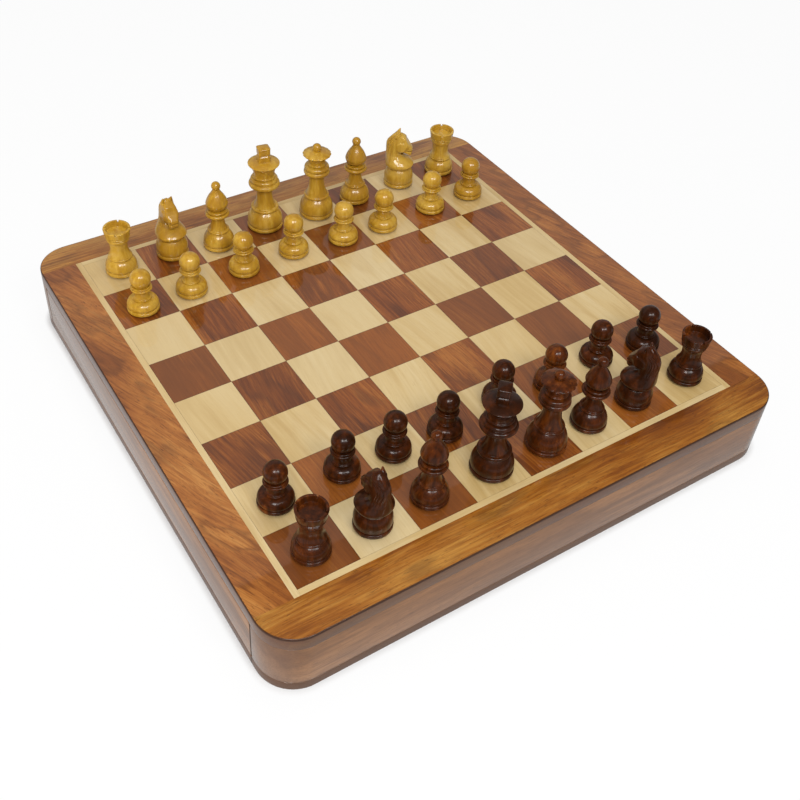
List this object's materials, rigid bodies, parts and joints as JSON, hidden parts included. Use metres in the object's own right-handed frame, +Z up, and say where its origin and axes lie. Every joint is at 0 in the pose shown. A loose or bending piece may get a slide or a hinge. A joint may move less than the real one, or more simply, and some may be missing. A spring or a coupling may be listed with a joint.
{
  "type": "chess box with drawers",
  "caption": "Square wooden chess box with an inlaid board on top, a drawer in its left and right sides, and turned men set out for a game.",
  "frame": {"origin": "middle of the underside of the box", "axes": "+X to the right along the near edge (the dark men's side), +Y towards the light men, +Z up out of the board"},
  "size_m": [0.305, 0.305, 0.0957],
  "materials": {
    "case_wood": "gloss lacquered sheesham",
    "border_wood": "gloss lacquered sheesham",
    "dark_square_wood": "gloss lacquered sheesham",
    "pale_wood": "gloss lacquered pale wood",
    "plain_wood": "sealed plywood and soft wood",
    "velvet": "flocked velvet",
    "light_man_wood": "polished boxwood",
    "dark_man_wood": "polished dark sheesham"
  },
  "bodies": {
    "box": {"front_wall": "case_wood", "back_wall": "case_wood", "centre_divider": "plain_wood", "bottom_panel": "case_wood", "top_panel": "plain_wood", "border_front": "border_wood", "border_back": "border_wood", "border_left": "border_wood", "border_right": "border_wood", "stringing": "pale_wood", "light_squares": "pale_wood", "dark_squares": "dark_square_wood"},
    "left_drawer": {"left_drawer_front": "case_wood", "left_drawer_sides": "plain_wood", "left_drawer_back": "plain_wood", "left_drawer_base": "plain_wood", "left_drawer_lining": "velvet", "left_drawer_long_slat": "velvet", "left_drawer_cross_slats": "velvet"},
    "right_drawer": {"right_drawer_front": "case_wood", "right_drawer_sides": "plain_wood", "right_drawer_back": "plain_wood", "right_drawer_base": "plain_wood", "right_drawer_lining": "velvet", "right_drawer_long_slat": "velvet", "right_drawer_cross_slats": "velvet"},
    "light_rook_left_man": {"light_rook_left": "light_man_wood"},
    "light_knight_left_man": {"light_knight_left": "light_man_wood"},
    "light_bishop_left_man": {"light_bishop_left": "light_man_wood"},
    "light_king_man": {"light_king": "light_man_wood"},
    "light_queen_man": {"light_queen": "light_man_wood"},
    "light_bishop_right_man": {"light_bishop_right": "light_man_wood"},
    "light_knight_right_man": {"light_knight_right": "light_man_wood"},
    "light_rook_right_man": {"light_rook_right": "light_man_wood"},
    "dark_rook_left_man": {"dark_rook_left": "dark_man_wood"},
    "dark_knight_left_man": {"dark_knight_left": "dark_man_wood"},
    "dark_bishop_left_man": {"dark_bishop_left": "dark_man_wood"},
    "dark_king_man": {"dark_king": "dark_man_wood"},
    "dark_queen_man": {"dark_queen": "dark_man_wood"},
    "dark_bishop_right_man": {"dark_bishop_right": "dark_man_wood"},
    "dark_knight_right_man": {"dark_knight_right": "dark_man_wood"},
    "dark_rook_right_man": {"dark_rook_right": "dark_man_wood"},
    "light_pawn_1_man": {"light_pawn_1": "light_man_wood"},
    "light_pawn_2_man": {"light_pawn_2": "light_man_wood"},
    "light_pawn_3_man": {"light_pawn_3": "light_man_wood"},
    "light_pawn_4_man": {"light_pawn_4": "light_man_wood"},
    "light_pawn_5_man": {"light_pawn_5": "light_man_wood"},
    "light_pawn_6_man": {"light_pawn_6": "light_man_wood"},
    "light_pawn_7_man": {"light_pawn_7": "light_man_wood"},
    "light_pawn_8_man": {"light_pawn_8": "light_man_wood"},
    "dark_pawn_1_man": {"dark_pawn_1": "dark_man_wood"},
    "dark_pawn_2_man": {"dark_pawn_2": "dark_man_wood"},
    "dark_pawn_3_man": {"dark_pawn_3": "dark_man_wood"},
    "dark_pawn_4_man": {"dark_pawn_4": "dark_man_wood"},
    "dark_pawn_5_man": {"dark_pawn_5": "dark_man_wood"},
    "dark_pawn_6_man": {"dark_pawn_6": "dark_man_wood"},
    "dark_pawn_7_man": {"dark_pawn_7": "dark_man_wood"},
    "dark_pawn_8_man": {"dark_pawn_8": "dark_man_wood"}
  },
  "joints": [
    {"name": "drawer_left_slide", "type": "slide", "parent": "box", "child": "left_drawer", "axis": [-1, 0, 0], "range_m": [0, 0.13]},
    {"name": "drawer_right_slide", "type": "slide", "parent": "box", "child": "right_drawer", "axis": [1, 0, 0], "range_m": [0, 0.13]},
    {"name": "lift_light_rook_left", "type": "slide", "parent": "box", "child": "light_rook_left_man", "axis": [0, 0, 1], "range_m": [0, 0.08]},
    {"name": "lift_light_knight_left", "type": "slide", "parent": "box", "child": "light_knight_left_man", "axis": [0, 0, 1], "range_m": [0, 0.08]},
    {"name": "lift_light_bishop_left", "type": "slide", "parent": "box", "child": "light_bishop_left_man", "axis": [0, 0, 1], "range_m": [0, 0.08]},
    {"name": "lift_light_king", "type": "slide", "parent": "box", "child": "light_king_man", "axis": [0, 0, 1], "range_m": [0, 0.08]},
    {"name": "lift_light_queen", "type": "slide", "parent": "box", "child": "light_queen_man", "axis": [0, 0, 1], "range_m": [0, 0.08]},
    {"name": "lift_light_bishop_right", "type": "slide", "parent": "box", "child": "light_bishop_right_man", "axis": [0, 0, 1], "range_m": [0, 0.08]},
    {"name": "lift_light_knight_right", "type": "slide", "parent": "box", "child": "light_knight_right_man", "axis": [0, 0, 1], "range_m": [0, 0.08]},
    {"name": "lift_light_rook_right", "type": "slide", "parent": "box", "child": "light_rook_right_man", "axis": [0, 0, 1], "range_m": [0, 0.08]},
    {"name": "lift_dark_rook_left", "type": "slide", "parent": "box", "child": "dark_rook_left_man", "axis": [0, 0, 1], "range_m": [0, 0.08]},
    {"name": "lift_dark_knight_left", "type": "slide", "parent": "box", "child": "dark_knight_left_man", "axis": [0, 0, 1], "range_m": [0, 0.08]},
    {"name": "lift_dark_bishop_left", "type": "slide", "parent": "box", "child": "dark_bishop_left_man", "axis": [0, 0, 1], "range_m": [0, 0.08]},
    {"name": "lift_dark_king", "type": "slide", "parent": "box", "child": "dark_king_man", "axis": [0, 0, 1], "range_m": [0, 0.08]},
    {"name": "lift_dark_queen", "type": "slide", "parent": "box", "child": "dark_queen_man", "axis": [0, 0, 1], "range_m": [0, 0.08]},
    {"name": "lift_dark_bishop_right", "type": "slide", "parent": "box", "child": "dark_bishop_right_man", "axis": [0, 0, 1], "range_m": [0, 0.08]},
    {"name": "lift_dark_knight_right", "type": "slide", "parent": "box", "child": "dark_knight_right_man", "axis": [0, 0, 1], "range_m": [0, 0.08]},
    {"name": "lift_dark_rook_right", "type": "slide", "parent": "box", "child": "dark_rook_right_man", "axis": [0, 0, 1], "range_m": [0, 0.08]},
    {"name": "lift_light_pawn_1", "type": "slide", "parent": "box", "child": "light_pawn_1_man", "axis": [0, 0, 1], "range_m": [0, 0.08]},
    {"name": "lift_light_pawn_2", "type": "slide", "parent": "box", "child": "light_pawn_2_man", "axis": [0, 0, 1], "range_m": [0, 0.08]},
    {"name": "lift_light_pawn_3", "type": "slide", "parent": "box", "child": "light_pawn_3_man", "axis": [0, 0, 1], "range_m": [0, 0.08]},
    {"name": "lift_light_pawn_4", "type": "slide", "parent": "box", "child": "light_pawn_4_man", "axis": [0, 0, 1], "range_m": [0, 0.08]},
    {"name": "lift_light_pawn_5", "type": "slide", "parent": "box", "child": "light_pawn_5_man", "axis": [0, 0, 1], "range_m": [0, 0.08]},
    {"name": "lift_light_pawn_6", "type": "slide", "parent": "box", "child": "light_pawn_6_man", "axis": [0, 0, 1], "range_m": [0, 0.08]},
    {"name": "lift_light_pawn_7", "type": "slide", "parent": "box", "child": "light_pawn_7_man", "axis": [0, 0, 1], "range_m": [0, 0.08]},
    {"name": "lift_light_pawn_8", "type": "slide", "parent": "box", "child": "light_pawn_8_man", "axis": [0, 0, 1], "range_m": [0, 0.08]},
    {"name": "lift_dark_pawn_1", "type": "slide", "parent": "box", "child": "dark_pawn_1_man", "axis": [0, 0, 1], "range_m": [0, 0.08]},
    {"name": "lift_dark_pawn_2", "type": "slide", "parent": "box", "child": "dark_pawn_2_man", "axis": [0, 0, 1], "range_m": [0, 0.08]},
    {"name": "lift_dark_pawn_3", "type": "slide", "parent": "box", "child": "dark_pawn_3_man", "axis": [0, 0, 1], "range_m": [0, 0.08]},
    {"name": "lift_dark_pawn_4", "type": "slide", "parent": "box", "child": "dark_pawn_4_man", "axis": [0, 0, 1], "range_m": [0, 0.08]},
    {"name": "lift_dark_pawn_5", "type": "slide", "parent": "box", "child": "dark_pawn_5_man", "axis": [0, 0, 1], "range_m": [0, 0.08]},
    {"name": "lift_dark_pawn_6", "type": "slide", "parent": "box", "child": "dark_pawn_6_man", "axis": [0, 0, 1], "range_m": [0, 0.08]},
    {"name": "lift_dark_pawn_7", "type": "slide", "parent": "box", "child": "dark_pawn_7_man", "axis": [0, 0, 1], "range_m": [0, 0.08]},
    {"name": "lift_dark_pawn_8", "type": "slide", "parent": "box", "child": "dark_pawn_8_man", "axis": [0, 0, 1], "range_m": [0, 0.08]}
  ]
}
